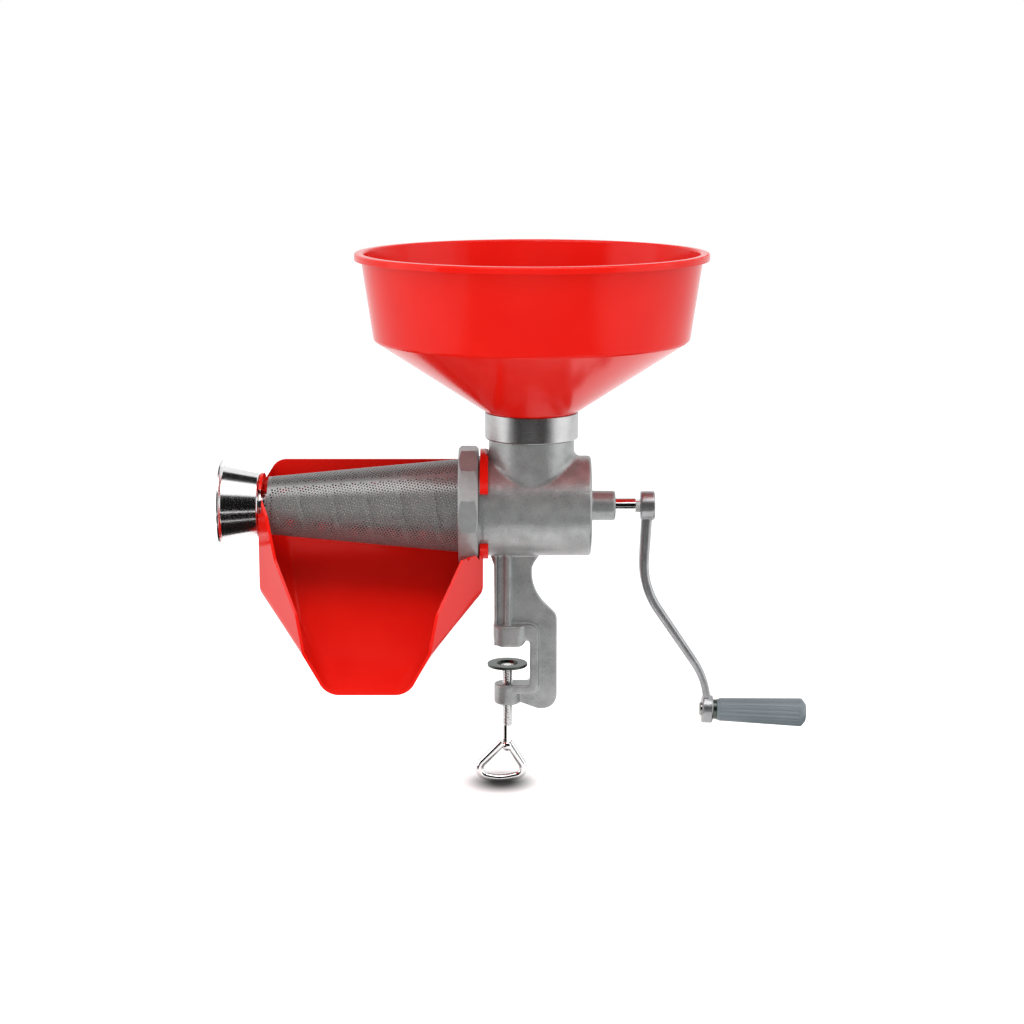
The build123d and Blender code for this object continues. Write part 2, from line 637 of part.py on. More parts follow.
def drive_shaft():
    shaft = rod_x(AUGER_X1, ROUND_X1, SHAFT_R) + rod_x(SHAFT_COLLAR_X0, THRUST_X0, SHAFT_COLLAR_R)
    square = square_x(ROUND_X1, SHAFT_END_X, SQUARE_AF) & rod_x(ROUND_X1, SHAFT_END_X, SHAFT_R)
    tongue = square_x(AUGER_X1 - TONGUE_LEN, AUGER_X1, TONGUE_AF)
    shaft += square + tongue
    pin_x = AUGER_X1 - TONGUE_LEN / 2
    shaft -= rod_z(AXIS_Z - 2 * AUGER_HUB_R, AXIS_Z + 2 * AUGER_HUB_R, PIN_R, x=pin_x)
    return shaft - rod_x(SHAFT_END_X - CRANK_SCREW_LEN, SHAFT_END_X + 1, CRANK_SCREW_R + RUN_FIT)


def auger_spring():
    """Coil between the shaft's collar and the auger, on the round shaft."""
    radius = SHAFT_R + SLIP_FIT + SPRING_WIRE / 2 + 1
    run = SPRING_LEN - SPRING_WIRE - 2 * RUN_FIT
    path = Helix(run / SPRING_TURNS, run, radius)
    wire = Plane(origin=path @ 0, z_dir=path % 0) * Circle(SPRING_WIRE / 2)
    coil = sweep(wire, path=path, is_frenet=True)
    return Pos(AUGER_X1 + RUN_FIT + SPRING_WIRE / 2, 0, AXIS_Z) * Rot(0, 90, 0) * coil


def auger():
    """Conical screw: a flight wound on a tapered core, turn by turn, and turned to clear the cone."""
    barrel_r = BORE_R - AUGER_CLEAR
    big_r = min(cone_radius(FLANGE_X0) - CONE_T, BORE_R) - AUGER_CLEAR
    small_r = CONE_R_SMALL - CONE_T - AUGER_CLEAR
    end = FACE_GAP
    room = turned_x([
        (AUGER_X0 - end, 0),
        (AUGER_X0 - end, small_r),
        (FLANGE_X0, big_r),
        (FLANGE_X0 + 1, barrel_r),
        (AUGER_X1 + end, barrel_r),
        (AUGER_X1 + end, 0),
    ])
    screw = turned_x([
        (AUGER_X0, 0),
        (AUGER_X0, AUGER_TIP_R),
        (FLANGE_X0, (big_r + AUGER_HUB_R) / 2),
        (AUGER_X1, AUGER_HUB_R),
        (AUGER_X1, 0),
    ])
    inner_r = AUGER_TIP_R - 2
    path = Helix(AUGER_PITCH, AUGER_PITCH, inner_r)
    start = Plane(origin=path @ 0, x_dir=(1, 0, 0), z_dir=path % 0)
    blade = Pos((BARREL_R - inner_r) / 2, 0) * Rectangle(BARREL_R - inner_r, AUGER_FLIGHT_T)
    turn = Rot(0, 90, 0) * sweep(start * blade, path=path, is_frenet=True)
    turns = int((AUGER_X1 - AUGER_X0 - 2 * AUGER_FLIGHT_T) // AUGER_PITCH)
    for i in range(turns):
        x = AUGER_X0 + AUGER_FLIGHT_T + i * AUGER_PITCH
        screw += (Pos(x, 0, AXIS_Z) * turn) & room
    socket_x0 = AUGER_X1 - TONGUE_LEN - 1
    screw -= square_x(socket_x0, AUGER_X1 + 1, TONGUE_AF + 2 * SQUARE_CLEAR)
    pin_x = AUGER_X1 - TONGUE_LEN / 2
    return screw - rod_z(AXIS_Z - BARREL_R, AXIS_Z + BARREL_R, PIN_R, x=pin_x)


def auger_drive_pin():
    pin_x = AUGER_X1 - TONGUE_LEN / 2
    return rod_z(AXIS_Z - AUGER_HUB_R, AXIS_Z + AUGER_HUB_R, PIN_R, x=pin_x)


# ---- crank -------------------------------------------------------------------------------------
def crank_arm():
    """S-shaped arm between the hub on the shaft's square and the boss of the grip's pin."""
    knees = [(HUB_X + dx, AXIS_Z - drop) for dx, drop in (CRANK_KNEE_1, CRANK_KNEE_2)]
    path = FilletPolyline((HUB_X, AXIS_Z), *knees, (PIN_X, PIN_Z), radius=[CRANK_BEND_1, CRANK_BEND_2])
    path = Plane.XZ * path
    sections = []
    for share, width, thick in ((0, CRANK_W, CRANK_T), (1, CRANK_TIP_W, CRANK_TIP_T)):
        plane = Plane(origin=path @ share, x_dir=(0, 1, 0), z_dir=path % share)
        sections.append(plane * RectangleRounded(width, thick, thick * CRANK_EDGE))
    arm = sweep(sections, path=path, multisection=True)
    hub = rod_x(HUB_X0, HUB_X1, HUB_R)
    hub = fillet(hub.edges(), HUB_ROUND)
    boss = on_grip_axis(Rot(0, 90, 0) * Cylinder(PIN_BOSS_R, PIN_BOSS_W))
    boss = fillet(boss.edges(), HUB_ROUND)
    crank = arm + hub + boss
    crank -= square_x(HUB_X0 - 1, RECESS_X + 1, SQUARE_AF + 2 * SQUARE_CLEAR)
    crank -= rod_x(RECESS_X, HUB_X1 + CRANK_T, HUB_RECESS_R)
    return crank - on_grip_axis(Rot(0, 90, 0) * Cylinder(GRIP_PIN_R, 2 * PIN_BOSS_W))


def crank_washer():
    return tube_x(RECESS_X, RECESS_X + CRANK_WASHER_T, HUB_RECESS_R - SLIP_FIT, CRANK_SCREW_R + RUN_FIT)


def crank_screw():
    head_x = RECESS_X + CRANK_WASHER_T
    head = rod_x(head_x, head_x + SCREW_HEAD_H, SCREW_HEAD_R)
    head = fillet(head.edges().group_by(Axis.X)[-1], 0.8)
    slot = Box(SCREW_HEAD_H, SCREW_SLOT_W, 3 * SCREW_HEAD_R)
    head -= Pos(head_x + 1.2 * SCREW_HEAD_H, 0, AXIS_Z) * slot
    return head + rod_x(SHAFT_END_X - CRANK_SCREW_LEN + 1, head_x, CRANK_SCREW_R)


def grip_x0():
    """Distance of the grip's inner end from the pin boss's centre."""
    return PIN_BOSS_W / 2 + GRIP_WASHER_T + FACE_GAP


def grip_bore_len():
    return GRIP_PIN_LEN + 1


def grip():
    x0 = grip_x0()
    x1 = x0 + GRIP_LEN
    dome = GRIP_R_OUT * 0.3
    profile = [
        (x0, 0),
        (x0, GRIP_R_IN),
        (x0 + GRIP_COLLAR_LEN, GRIP_R_IN),
        (x0 + GRIP_COLLAR_LEN + 2, GRIP_R_IN + 0.8),
        (x1 - dome, GRIP_R_OUT),
        (x1, GRIP_R_OUT * 0.62),
        (x1, 0),
    ]
    face = make_face(FilletPolyline(*profile, radius=[0, 1, 1, 1, 3, 3, 0], close=True))
    body = revolve(Plane.XZ * face, Axis.X)
    flute_x0 = x0 + GRIP_COLLAR_LEN + 3
    flute_x1 = x1 - 2 * dome
    r0 = GRIP_R_IN + 0.9
    r1 = GRIP_R_OUT
    lean = math.degrees(math.atan2(r1 - r0, flute_x1 - flute_x0))
    depth = GRIP_FLUTE_R * 0.55
    flute = Cylinder(GRIP_FLUTE_R, flute_x1 - flute_x0)
    flute += Pos(0, 0, (flute_x1 - flute_x0) / 2) * Sphere(GRIP_FLUTE_R)
    flute += Pos(0, 0, -(flute_x1 - flute_x0) / 2) * Sphere(GRIP_FLUTE_R)
    flute = Pos((flute_x0 + flute_x1) / 2, 0, (r0 + r1) / 2 + depth) * Rot(0, 90 - lean, 0) * flute
    flutes = [Rot(i * 360 / GRIP_FLUTES, 0, 0) * flute for i in range(GRIP_FLUTES)]
    body -= flutes
    bore = Pos(x0 + grip_bore_len() / 2 - 0.5, 0, 0) * Rot(0, 90, 0)
    body -= bore * Cylinder(GRIP_PIN_R + RUN_FIT, grip_bore_len() + 1)
    body -= bead(RUN_FIT + 0.1)
    return on_grip_axis(body)


def bead(grow=0.0):
    """Snap ring near the pin's end, or with grow the groove it snaps into."""
    middle = grip_x0() + GRIP_PIN_LEN - 6
    return Pos(middle, 0, 0) * Rot(0, 90, 0) * Cylinder(GRIP_PIN_R + GRIP_PIN_BEAD + grow, 2 + 4 * grow)


def grip_pin():
    back = PIN_BOSS_W / 2
    tip = grip_x0() + GRIP_PIN_LEN
    pin = Pos((tip - back) / 2, 0, 0) * Rot(0, 90, 0) * Cylinder(GRIP_PIN_R, tip + back)
    rivet = Pos(-back - RIVET_H / 2, 0, 0) * Rot(0, 90, 0) * Cylinder(RIVET_R, RIVET_H)
    rivet = fillet(rivet.edges().group_by(Axis.X)[0], RIVET_H * 0.6)
    return on_grip_axis(pin + rivet + bead())


def grip_washer():
    middle = PIN_BOSS_W / 2 + GRIP_WASHER_T / 2
    washer = Cylinder(GRIP_WASHER_R, GRIP_WASHER_T) - Cylinder(GRIP_PIN_R, GRIP_WASHER_T)
    return on_grip_axis(Pos(middle, 0, 0) * Rot(0, 90, 0) * washer)


# ---- clamp screw -------------------------------------------------------------------------------
def clamp_pad():
    top = -PAD_DROP
    web_low = top - PAD_RING_T - PAD_WEB_T
    pad = turned_z(
        [
            (STEM_R + FACE_GAP, web_low),
            (PAD_HUB_R, web_low),
            (PAD_R, top - PAD_RIM_T),
            (PAD_R, top),
            (PAD_HUB_R + PAD_WEB_T / 2, top),
            (PAD_HUB_R - PAD_WEB_T / 2, web_low + PAD_WEB_T),
            (STEM_R + FACE_GAP, web_low + PAD_WEB_T),
        ],
        rounds=[0, 1, 0.6, 0, 0, 0.4, 0],
    )
    return fillet(pad.edges().group_by(Axis.Z)[-1], PAD_EDGE)


def pad_retainer():
    low = -PAD_DROP - PAD_RING_T + FACE_GAP
    ring = rod_z(low, low + RETAINER_T, RETAINER_R) - rod_z(low - 1, low + 3, STEM_R)
    return fillet(ring.edges().group_by(Axis.Z)[-1].filter_by(lambda e: e.radius > STEM_R + 1), 0.5)


def clamp_screw():
    retainer_top = -PAD_DROP - PAD_RING_T + FACE_GAP + RETAINER_T
    thread_end = SCREW_TOP_Z - THREAD_LEN
    screw = rod_z(thread_end, SCREW_TOP_Z, SCREW_R)
    screw = chamfer(screw.edges(), THREAD_CHAMFER)
    screw += rod_z(SCREW_TOP_Z - 1, retainer_top, STEM_R)
    return screw + rod_z(BOW_TOP_Z, thread_end + 1, SHANK_R)


def clamp_bow():
    """Rounded triangle of bent wire welded under the screw, a little off its axis."""
    apex_z = BOW_TOP_Z - BOW_TOP_DROP
    low_z = apex_z - BOW_H
    wire = FilletPolyline(
        (BOW_TOP_LEFT, apex_z),
        (BOW_LEFT_X, low_z + BOW_SAG),
        ((BOW_LEFT_X + BOW_RIGHT_X) / 2, low_z),
        (BOW_RIGHT_X, low_z + BOW_SAG),
        (BOW_TOP_RIGHT, apex_z),
        radius=[BOW_BEND, BOW_BELLY, BOW_BEND],
    )
    path = Plane.XZ * wire
    section = Plane(origin=path @ 0, z_dir=path % 0) * Circle(BOW_WIRE_R)
    bow = sweep(section, path=path)
    bow += Pos(0, 0, BOW_TOP_Z - SHANK_R) * Sphere(1.3 * SHANK_R)
    return bow - rod_z(BOW_TOP_Z, BOW_TOP_Z + BOW_H, SHANK_R + FACE_GAP)


NODES = (
    body_casting, hopper_collar, hopper, flange_gasket, strainer_mouth_ring, strainer_cone,
    strainer_end_ring, waste_bell, ring_nut, sauce_chute, shaft_bush, shaft_seal, thrust_washer,
    drive_shaft, auger_spring, auger, auger_drive_pin, crank_arm, crank_washer, crank_screw,
    grip, grip_pin, grip_washer, clamp_pad, pad_retainer, clamp_screw, clamp_bow,
)


def main():
    os.makedirs("parts", exist_ok=True)
    for make in NODES:
        export_step(make(), f"parts/{make.__name__}.step")


main()
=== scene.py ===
"""Tomato strainer with crank: looks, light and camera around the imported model. Metres."""
import json
import math

import bpy
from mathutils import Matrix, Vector


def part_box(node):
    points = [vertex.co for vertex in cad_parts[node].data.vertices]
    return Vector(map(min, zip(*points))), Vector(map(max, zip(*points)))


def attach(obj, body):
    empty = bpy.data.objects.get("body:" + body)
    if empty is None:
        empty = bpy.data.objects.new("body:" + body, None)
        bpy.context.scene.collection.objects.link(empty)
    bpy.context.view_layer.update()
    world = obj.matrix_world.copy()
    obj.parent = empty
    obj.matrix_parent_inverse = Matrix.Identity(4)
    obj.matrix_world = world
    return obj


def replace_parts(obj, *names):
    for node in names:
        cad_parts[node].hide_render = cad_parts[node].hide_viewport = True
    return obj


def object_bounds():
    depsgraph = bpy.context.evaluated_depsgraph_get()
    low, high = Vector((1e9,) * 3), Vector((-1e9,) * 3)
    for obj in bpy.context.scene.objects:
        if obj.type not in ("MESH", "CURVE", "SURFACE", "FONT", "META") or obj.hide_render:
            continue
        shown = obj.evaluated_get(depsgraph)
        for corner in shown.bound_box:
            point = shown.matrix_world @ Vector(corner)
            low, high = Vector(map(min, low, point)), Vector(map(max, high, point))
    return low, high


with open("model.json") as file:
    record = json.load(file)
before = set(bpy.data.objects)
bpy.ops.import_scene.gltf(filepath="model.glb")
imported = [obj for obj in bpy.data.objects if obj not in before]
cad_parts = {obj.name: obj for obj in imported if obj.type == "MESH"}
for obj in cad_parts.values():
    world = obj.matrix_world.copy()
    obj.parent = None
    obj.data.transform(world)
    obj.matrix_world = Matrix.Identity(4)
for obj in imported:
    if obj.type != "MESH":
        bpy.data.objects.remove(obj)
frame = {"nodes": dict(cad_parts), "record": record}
cad_box = [list(corner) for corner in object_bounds()]
nodes = frame["nodes"]
MM = 0.001


# ---- node graphs ---------------------------------------------------------------------------------
class Graph:
    """The nodes of one material or of the world, joined as they are made."""

    def __init__(self, name, kind=bpy.data.materials):
        self.owner = kind.new(name)
        self.owner.use_nodes = True
        self.tree = self.owner.node_tree
        self.tree.nodes.clear()
        self.relief = None

    @property
    def where(self):
        """The object's own coordinates."""
        return self.add("TexCoord").outputs["Object"]

    def add(self, kind, sockets=None, **settings):
        node = self.tree.nodes.new("ShaderNode" + kind)
        for key, value in settings.items():
            setattr(node, key, value)
        for key, value in (sockets or {}).items():
            if isinstance(value, bpy.types.NodeSocket):
                self.tree.links.new(value, node.inputs[key])
            else:
                node.inputs[key].default_value = value
        return node

    def stretched(self, x, y, z):
        """The object's coordinates scaled along each axis."""
        return self.add("Mapping", {"Vector": self.where, "Scale": (x, y, z)}).outputs[0]

    def noise(self, size, detail=3.0, rough=0.5, where=None):
        """Noise whose lumps are about size millimetres across."""
        sockets = {"Vector": where or self.where, "Scale": 1 / (size * MM), "Detail": detail,
                   "Roughness": rough}
        return self.add("TexNoise", sockets).outputs["Fac"]

    def spread(self, value, low, high, from_low=0.3, from_high=0.7):
        """The value brought from one range to another; noise mostly lies between 0.3 and 0.7."""
        sockets = {"Value": value, "From Min": from_low, "From Max": from_high,
                   "To Min": low, "To Max": high}
        return self.add("MapRange", sockets).outputs["Result"]

    def mix(self, share, first, second):
        """Colour between the first (share 0) and the second (share 1)."""
        return self.add("Mix", {0: share, 6: first, 7: second}, data_type="RGBA").outputs[2]

    def combine(self, first, second, operation):
        return self.add("Math", {0: first, 1: second}, operation=operation).outputs[0]

    def bump(self, value, depth, strength=1.0):
        """Adds relief depth millimetres deep to what is there."""
        sockets = {"Height": value, "Distance": depth * MM, "Strength": strength}
        if self.relief is not None:
            sockets["Normal"] = self.relief
        self.relief = self.add("Bump", sockets).outputs["Normal"]

    def seen(self):
        """1 for rays from the camera, off a mirror or through glass, and 0 for all others."""
        path = self.add("LightPath")
        share = path.outputs["Is Camera Ray"]
        for ray in ("Is Glossy Ray", "Is Transmission Ray"):
            share = self.combine(share, path.outputs[ray], "MAXIMUM")
        return share

    def surface(self, shader, kind="OutputMaterial"):
        self.add(kind, {"Surface": shader.outputs[0]})
        return self.owner

    def principled(self, **sockets):
        named = {key.replace("_", " "): value for key, value in sockets.items()}
        if self.relief is not None:
            named["Normal"] = self.relief
        return self.surface(self.add("BsdfPrincipled", named))


def grey(value, tint=(1.0, 1.0, 1.0)):
    return tuple(value * t for t in tint) + (1.0,)


# ---- materials -----------------------------------------------------------------------------------
GRAIN_SHADE = 0.62          # of the dark tone, in the grain's hollows
WIPE_SHADE = 0.8            # of the tone, where plating was wiped
SMUDGE_SHADE = 0.86         # of the tone, where turned metal was touched
COOL_TINT = (0.96, 1.0, 1.0)


def cast_metal(name, dark, light, grain=0.7, depth=0.07, roughness=(0.25, 0.38), metallic=0.5,
               tint=COOL_TINT):
    """Sand-cast metal: grainy skin, larger mottling and a little pitting."""
    g = Graph(name)
    fine = g.noise(grain, 4.0, 0.6)
    broad = g.noise(14.0, 3.0, 0.55)
    pits = g.noise(3.2, 2.0, 0.5)
    tone = g.mix(g.spread(broad, 0.0, 1.0), grey(dark, tint), grey(light, tint))
    tone = g.mix(g.spread(fine, 0.0, 0.35), tone, grey(dark * GRAIN_SHADE, tint))
    g.bump(fine, depth)
    g.bump(pits, depth * 2.2, 0.6)
    return g.principled(Base_Color=tone, Metallic=metallic, Roughness=g.spread(fine, *roughness))


def turned_metal(name, tone, axis, roughness=(0.16, 0.3), metallic=1.0, tint=(1.0, 1.0, 1.0),
                 ring=0.25):
    """Metal turned or drawn, with fine rings across the given axis."""
    g = Graph(name)
    scale = [0.02, 0.02, 0.02]
    scale["xyz".index(axis)] = 1.0
    rings = g.noise(ring, 3.0, 0.6, where=g.stretched(*scale))
    smudge = g.noise(11.0, 3.0, 0.6)
    colour = g.mix(g.spread(smudge, 0.0, 1.0), grey(tone, tint), grey(tone * SMUDGE_SHADE, tint))
    g.bump(rings, 0.012, 0.6)
    return g.principled(Base_Color=colour, Metallic=metallic,
                        Roughness=g.spread(rings, *roughness))


def plated_metal(name, tone, roughness=(0.05, 0.14), tint=(1.0, 1.0, 1.0)):
    """Bright plated wire or rod: small ripples and faint wipe marks."""
    g = Graph(name)
    ripple = g.noise(7.0, 2.0, 0.5)
    wipe = g.noise(1.1, 4.0, 0.65, where=g.stretched(1.0, 1.0, 0.25))
    colour = g.mix(g.spread(wipe, 0.0, 0.6), grey(tone, tint), grey(tone * WIPE_SHADE, tint))
    g.bump(ripple, 0.05, 0.35)
    return g.principled(Base_Color=colour, Metallic=1.0, Roughness=g.spread(wipe, *roughness))


def moulded_plastic(name, deep, bright, roughness, skin=0.02, specular=0.5):
    """Moulded plastic: soft flow marks, orange-peel skin and fine handling scratches."""
    g = Graph(name)
    flow = g.noise(60.0, 2.0, 0.5)
    peel = g.noise(2.4, 2.0, 0.5)
    scratch = g.noise(0.8, 5.0, 0.7, where=g.stretched(1.0, 0.12, 0.3))
    colour = g.mix(g.spread(flow, 0.0, 1.0), deep, bright)
    g.bump(peel, skin, 0.5)
    return g.principled(Base_Color=colour, Roughness=g.spread(scratch, *roughness),
                        Specular_IOR_Level=specular)


MATERIALS = {
    "cast_aluminium": cast_metal("cast_aluminium", dark=0.30, light=0.45, grain=0.9, depth=0.14,
                                 roughness=(0.24, 0.38)),
    "cast_nut": cast_metal("cast_nut", dark=0.30, light=0.40, roughness=(0.27, 0.38),
                           metallic=0.35),
    "crank_casting": cast_metal("crank_casting", dark=0.31, light=0.43, metallic=0.85,
                                tint=(0.98, 1.0, 1.02)),
    "turned_aluminium": turned_metal("turned_aluminium", 0.46, "z", roughness=(0.26, 0.36)),
    "red_plastic": moulded_plastic("red_plastic", (0.74, 0.009, 0.005, 1),
                                   (0.79, 0.013, 0.007, 1), roughness=(0.13, 0.2),
                                   specular=0.16),
    "strainer_steel": turned_metal("strainer_steel", 0.25, "x", roughness=(0.24, 0.34),
                                   metallic=0.4),
    "polished_steel": turned_metal("polished_steel", 0.88, "x", roughness=(0.12, 0.2), ring=0.4),
    "chrome_steel": plated_metal("chrome_steel", 0.80),
    "zinc_steel": plated_metal("zinc_steel", 0.36, roughness=(0.18, 0.34),
                               tint=(0.97, 1.0, 0.96)),
    "dark_steel": plated_metal("dark_steel", 0.10, roughness=(0.2, 0.4), tint=(0.85, 1.0, 0.9)),
    "spring_steel": plated_metal("spring_steel", 0.5),
    "auger_plastic": moulded_plastic("auger_plastic", (0.72, 0.71, 0.66, 1), (0.8, 0.79, 0.75, 1),
                                     roughness=(0.35, 0.5)),
    "grey_plastic": moulded_plastic("grey_plastic", (0.145, 0.18, 0.195, 1),
                                    (0.18, 0.215, 0.235, 1), roughness=(0.34, 0.46), skin=0.03),
    "bronze": turned_metal("bronze", 0.6, "x", tint=(0.95, 0.62, 0.3)),
    "black_rubber": moulded_plastic("black_rubber", (0.012, 0.012, 0.013, 1),
                                    (0.02, 0.02, 0.021, 1), roughness=(0.55, 0.75), skin=0.05),
}

for part in frame["record"]["subparts"]:
    mesh = nodes[part["node"]].data
    mesh.materials.clear()
    mesh.materials.append(MATERIALS[part["material_slot"]])


def placed(name, data):
    """New object of the scene with this data."""
    thing = bpy.data.objects.new(name, data)
    bpy.context.scene.collection.objects.link(thing)
    return thing


def new_piece(name, verts, faces, body, slot):
    """A mesh piece that rides on a body and takes the slot's finish."""
    mesh = bpy.data.meshes.new(name)
    mesh.from_pydata(verts, [], faces)
    mesh.validate()
    mesh.update()
    mesh.materials.append(MATERIALS[slot])
    thing = placed(name, mesh)
    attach(thing, body)
    return thing


# ---- perforated cone -----------------------------------------------------------------------------
HOLE_PITCH = 2.8 * MM
HOLE_R = 0.9 * MM
HOLE_SIDES = 12
SHEET_T = 0.8 * MM
RIM_BARE = 2.6 * MM                # without holes at either end of the cone
SEAM_HALF = 2.6 * MM               # without holes at either side of the seam
SEAM_ANGLE = math.radians(52)      # above the horizontal, on the user's side
CELL_REACH = 0.57                  # of the pitch: a cell further off the sheet is left out
FIRST_CHORD = 0.9                  # of the small end's slant: where the columns begin
TURN_STEPS = 3000                  # to a radian, when two corners are compared
SMALL_END = 0.5 * MM               # length at the small end in which its radius is read


def perforated_cone():
    """The strainer's cone, rolled from a flat sheet with staggered holes."""
    low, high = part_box("strainer_cone")
    axis_z = (low.z + high.z) / 2
    big = (high.z - low.z) / 2
    points = nodes["strainer_cone"].data.vertices
    small = max(math.hypot(v.co.y, v.co.z - axis_z) for v in points if v.co.x < low.x + SMALL_END)
    slope = math.atan2(big - small, high.x - low.x)
    start, end = small / math.sin(slope), big / math.sin(slope)
    half_sector = math.pi * math.sin(slope)

    verts, index, faces = [], {}, []

    def rolled(u, v, inside):
        """Vertex number of the flat point (u, v), rolled up, on the outer or the inner face."""
        s = min(max(math.hypot(u, v), start), end)
        turn = min(max(math.atan2(v, u), -half_sector), half_sector)
        key = (round(s / MM, 3), round(turn * TURN_STEPS, 2), inside)
        if key not in index:
            index[key] = len(verts)
            radius = s * math.sin(slope) - (SHEET_T if inside else 0)
            bearing = SEAM_ANGLE + math.pi + turn / math.sin(slope)
            verts.append((low.x + (s - start) * math.cos(slope), -radius * math.cos(bearing),
                          axis_z + radius * math.sin(bearing)))
        return index[key]

    row_step = HOLE_PITCH * math.sqrt(3) / 2
    rim = [(HOLE_PITCH / 2 if k % 2 == 0 else HOLE_PITCH / math.sqrt(3), k * math.tau / HOLE_SIDES)
           for k in range(HOLE_SIDES)]
    rows = int((end * math.sin(half_sector) + HOLE_PITCH) / row_step) + 1
    columns = range(int(start * FIRST_CHORD / HOLE_PITCH), int(end / HOLE_PITCH) + 2)
    for row in range(-rows, rows + 1):
        v = row * row_step
        shift = HOLE_PITCH / 2 if row % 2 else 0.0
        for column in columns:
            u = column * HOLE_PITCH + shift
            s, turn = math.hypot(u, v), math.atan2(v, u)
            outside = max(start - s, s - end, (abs(turn) - half_sector) * s)
            if outside > HOLE_PITCH * CELL_REACH:
                continue
            corners = [(u + r * math.cos(a), v + r * math.sin(a)) for r, a in rim]
            outer = [rolled(x, y, False) for x, y in corners]
            inner = [rolled(x, y, True) for x, y in corners]
            to_seam = (half_sector - abs(turn)) * s - SEAM_HALF
            if min(s - start - RIM_BARE, end - RIM_BARE - s, to_seam) < 0:
                faces.append(outer)
                faces.append(inner[::-1])
                continue
            hole = [(u + HOLE_R * math.cos(a), v + HOLE_R * math.sin(a)) for _, a in rim]
            hole_out = [rolled(x, y, False) for x, y in hole]
            hole_in = [rolled(x, y, True) for x, y in hole]
            for k in range(HOLE_SIDES):
                j = (k + 1) % HOLE_SIDES
                faces.append((outer[k], outer[j], hole_out[j], hole_out[k]))
                faces.append((hole_out[k], hole_out[j], hole_in[j], hole_in[k]))
                faces.append((hole_in[k], hole_in[j], inner[j], inner[k]))
    clean = []
    for face in faces:
        kept = [n for i, n in enumerate(face) if n != face[i - 1]]
        if len(set(kept)) == len(kept) > 2:
            clean.append(kept)
    return new_piece("cone_perforated_sheet", verts, clean, "frame", "strainer_steel")


cone = perforated_cone()
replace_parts(cone, "strainer_cone")


# ---- cast skin and screw thread ------------------------------------------------------------------
def soften(node, voxel, turns):
    """Rounds a casting's edges and inner corners as a sand mould leaves them."""
    cells = nodes[node].modifiers.new("skin", "REMESH")
    cells.mode = "VOXEL"
    cells.voxel_size = voxel * MM
    cells.use_smooth_shade = True
    even = nodes[node].modifiers.new("even", "SMOOTH")
    even.factor = 0.5
    even.iterations = turns


soften("body_casting", voxel=0.8, turns=7)
soften("crank_arm", voxel=0.6, turns=3)

THREAD_PITCH = 1.5 * MM
THREAD_DEPTH = 0.85 * MM
THREAD_SIDES = 40
TURN_LEVELS = 8                    # rings of points to one turn of the thread
FLANK_STEEP = 1.3                  # how fast a flank goes from crest to root, and
FLANK_START = 0.15                 # how wide that leaves crest and root
RUN_OUT = 0.7 * MM                 # from the thread to the plain rod at either end


def threaded_screw():
    """The clamp's screw with its thread cut as a helix between the pad's stem and the shank."""
    points = nodes["clamp_screw"].data.vertices
    low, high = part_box("clamp_screw")

    def widest(within):
        return max(math.hypot(v.co.x, v.co.y) for v in points if within(v.co.z))

    rod_r = widest(lambda z: True)
    shank_r = widest(lambda z: z < low.z + MM)
    stem_r = widest(lambda z: z > high.z - MM)
    thread = [v.co.z for v in points if math.hypot(v.co.x, v.co.y) > rod_r - 0.1 * MM]
    thread_low, thread_high = min(thread), max(thread)
    levels = [(low.z, 0.0, False), (low.z, shank_r, False),
              (thread_low - RUN_OUT, shank_r, False)]
    steps = int((thread_high - thread_low) / (THREAD_PITCH / TURN_LEVELS))
    for step in range(steps + 1):
        levels.append((thread_low + (thread_high - thread_low) * step / steps, rod_r, True))
    levels += [(thread_high + RUN_OUT, stem_r, False), (high.z, stem_r, False),
               (high.z, 0.0, False)]
    verts, faces = [], []
    for z, radius, cut in levels:
        for k in range(THREAD_SIDES):
            r = radius
            if cut:
                turn = (z / THREAD_PITCH - k / THREAD_SIDES) % 1.0
                flank = min(1.0, max(0.0, abs(2 * turn - 1) * FLANK_STEEP - FLANK_START))
                r -= THREAD_DEPTH * flank
            angle = k * math.tau / THREAD_SIDES
            verts.append((r * math.cos(angle), r * math.sin(angle), z))
    for row in range(len(levels) - 1):
        a, b = row * THREAD_SIDES, (row + 1) * THREAD_SIDES
        for k in range(THREAD_SIDES):
            j = (k + 1) % THREAD_SIDES
            faces.append((a + k, a + j, b + j, b + k))
    return new_piece("clamp_screw_thread", verts, faces, "screw", "chrome_steel")


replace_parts(threaded_screw(), "clamp_screw")


# ---- floor and world -----------------------------------------------------------------------------
FLOOR_Z = cad_box[0][2] - 0.0004
FLOOR_HALF = 6.0
FLOOR_GLOW = 0.62
FLOOR_COLOUR = (0.85, 0.85, 0.85, 1)
# painted contact shadow under the wire bow: its colour, its depth in the glow and its radii
PAINTED_SHADOW_COLOUR = (0.02, 0.02, 0.02, 1)
PAINTED_SHADOW_LEVEL = 0.04                  # share of the floor's glow in the middle of the painted shadow
PAINTED_SHADOW_R = (0.006, 0.046)            # painted shadow full within the first, gone beyond the second
WORLD_LIGHT = 0.55                 # on the object; what is seen of the world is 1
WHITE = (1, 1, 1, 1)


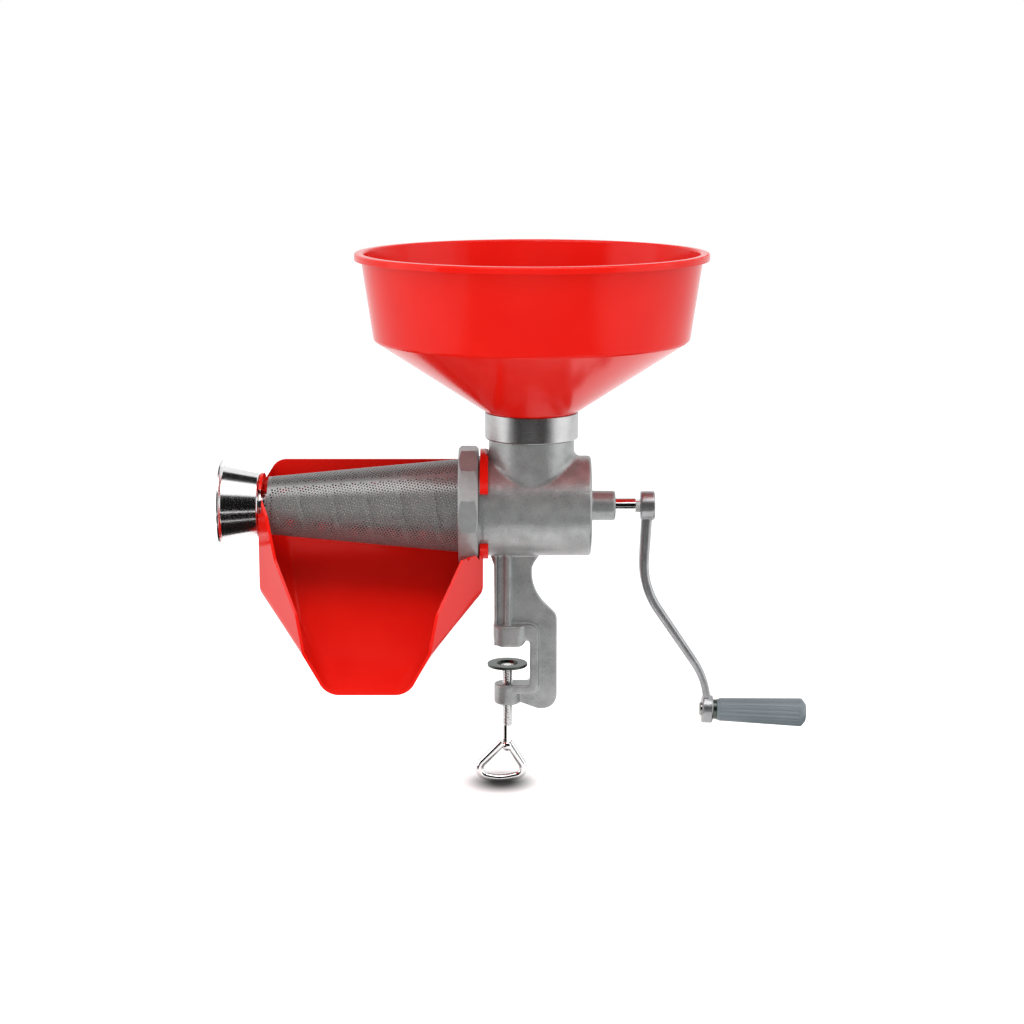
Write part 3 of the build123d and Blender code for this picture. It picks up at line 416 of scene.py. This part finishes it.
def floor_paper():
    """White paper that glows for rays that see it, with a soft shadow painted under the wire bow.
    """
    g = Graph("floor_paper")
    bow_low, bow_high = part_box("clamp_bow")
    painted_shadow_centre = ((bow_low.x + bow_high.x) / 2, 0.0, FLOOR_Z)
    away = g.add("VectorMath", {0: g.where, 1: painted_shadow_centre}, operation="DISTANCE").outputs["Value"]
    painted_shadow_factor = g.add("MapRange", {"Value": away, "From Min": PAINTED_SHADOW_R[0], "From Max": PAINTED_SHADOW_R[1],
                               "To Min": PAINTED_SHADOW_LEVEL, "To Max": 1.0},
                  interpolation_type="SMOOTHSTEP").outputs["Result"]
    # the painted shadow dims the floor's glow and darkens the paper's colour around the bow's
    # middle
    glow = g.combine(g.combine(g.seen(), FLOOR_GLOW, "MULTIPLY"), painted_shadow_factor, "MULTIPLY")
    diffuse = g.add("BsdfDiffuse", {"Color": g.mix(painted_shadow_factor, PAINTED_SHADOW_COLOUR, FLOOR_COLOUR)})
    light = g.add("Emission", {"Color": WHITE, "Strength": glow})
    return g.surface(g.add("AddShader", {0: diffuse.outputs[0], 1: light.outputs[0]}))


def level_sheet(name, x, y, z, material):
    """Level rectangle between two corners."""
    sheet = bpy.data.meshes.new(name)
    sheet.from_pydata([(x[0], y[0], z), (x[1], y[0], z), (x[1], y[1], z), (x[0], y[1], z)], [],
                      [(0, 1, 2, 3)])
    sheet.materials.append(material)
    return placed(name, sheet)


floor = level_sheet("floor", (-FLOOR_HALF, FLOOR_HALF), (-FLOOR_HALF, FLOOR_HALF), FLOOR_Z,
                    floor_paper())

studio = Graph("studio", bpy.data.worlds)
sky = studio.add("Background", {"Color": WHITE,
                                "Strength": studio.spread(studio.seen(), WORLD_LIGHT, 1.0, 0, 1)})
bpy.context.scene.world = studio.surface(sky, "OutputWorld")


# ---- lamps and dark cards ------------------------------------------------------------------------
AIM = Vector((0.0, 0.0, 0.12))


def around(azimuth, elevation, distance):
    """Point about the object; azimuth 0 is in front, 90 on the right."""
    a, e = math.radians(azimuth), math.radians(elevation)
    return AIM + Vector((math.sin(a) * math.cos(e), -math.cos(a) * math.cos(e),
                         math.sin(e))) * distance


def softbox(name, azimuth, elevation, distance, size, power, mirrored=True):
    """Area lamp that faces the object, and that bright metal mirrors or doesn't."""
    light = bpy.data.lights.new(name, "AREA")
    light.shape = "RECTANGLE"
    light.size, light.size_y = size
    light.energy = power
    lamp = placed(name, light)
    lamp.location = around(azimuth, elevation, distance)
    lamp.rotation_euler = (AIM - lamp.location).to_track_quat("-Z", "Y").to_euler()
    lamp.visible_glossy = mirrored


def black_paint():
    g = Graph("card_black")
    return g.surface(g.add("BsdfDiffuse", {"Color": (0.008, 0.008, 0.008, 1)}))


def only_mirrored(card):
    """Makes a studio card that only reflections see, so bright metal shows dark streaks."""
    card.visible_camera = card.visible_diffuse = card.visible_shadow = False
    card.visible_transmission = False


def curved_card(name, azimuths, elevations, distance, material, steps=12):
    """Part of a sphere about the object."""
    verts = [around(azimuths[0] + (azimuths[1] - azimuths[0]) * i / steps,
                    elevations[0] + (elevations[1] - elevations[0]) * j / steps, distance)
             for i in range(steps + 1) for j in range(steps + 1)]
    faces = []
    for i in range(steps):
        for j in range(steps):
            a, b = i * (steps + 1) + j, (i + 1) * (steps + 1) + j
            faces.append((a, b, b + 1, a + 1))
    card = bpy.data.meshes.new(name)
    card.from_pydata(verts, [], faces)
    card.materials.append(material)
    return placed(name, card)


softbox("fill_front", -8, 6, 2.4, (1.6, 1.2), power=16, mirrored=False)
softbox("softbox_left", -82, 18, 2.2, (1.6, 2.4), power=13)
softbox("softbox_right", 80, 18, 2.2, (1.6, 2.4), power=12)
softbox("softbox_top", 0, 68, 2.0, (1.8, 1.2), power=20)

CARD_Z = FLOOR_Z + 0.002
OVERHEAD_Z = 1.6
black = black_paint()
only_mirrored(curved_card("card_front", (-58, 50), (-8, 42), 1.3, black))
only_mirrored(level_sheet("card_overhead", (-0.9, 0.5), (0.08, 1.2), OVERHEAD_Z, black))
only_mirrored(level_sheet("card_floor_left", (-0.5, -0.05), (-0.34, -0.02), CARD_Z, black))
only_mirrored(level_sheet("card_floor_right", (0.22, 0.5), (-0.12, 0.1), CARD_Z, black))
only_mirrored(level_sheet("card_floor_front", (-0.9, 0.9), (-1.35, -0.36), CARD_Z, black))


# ---- camera --------------------------------------------------------------------------------------
PITCH = math.radians(11.4)         # down, towards the target
DISTANCE = 1.95
TARGET = Vector((0.0042, 0.0, 0.122))
SENSOR_WIDTH, LENS = 36, 76.2      # millimetres
CLIP = (0.05, 100)

camera = placed("camera", bpy.data.cameras.new("camera"))
camera.location = TARGET + Vector((0, -math.cos(PITCH), math.sin(PITCH))) * DISTANCE
camera.rotation_euler = (math.pi / 2 - PITCH, 0, 0)
camera.data.sensor_width = SENSOR_WIDTH
camera.data.lens = LENS
camera.data.clip_start, camera.data.clip_end = CLIP
bpy.context.scene.camera = camera
bpy.context.scene.view_settings.view_transform = "Standard"
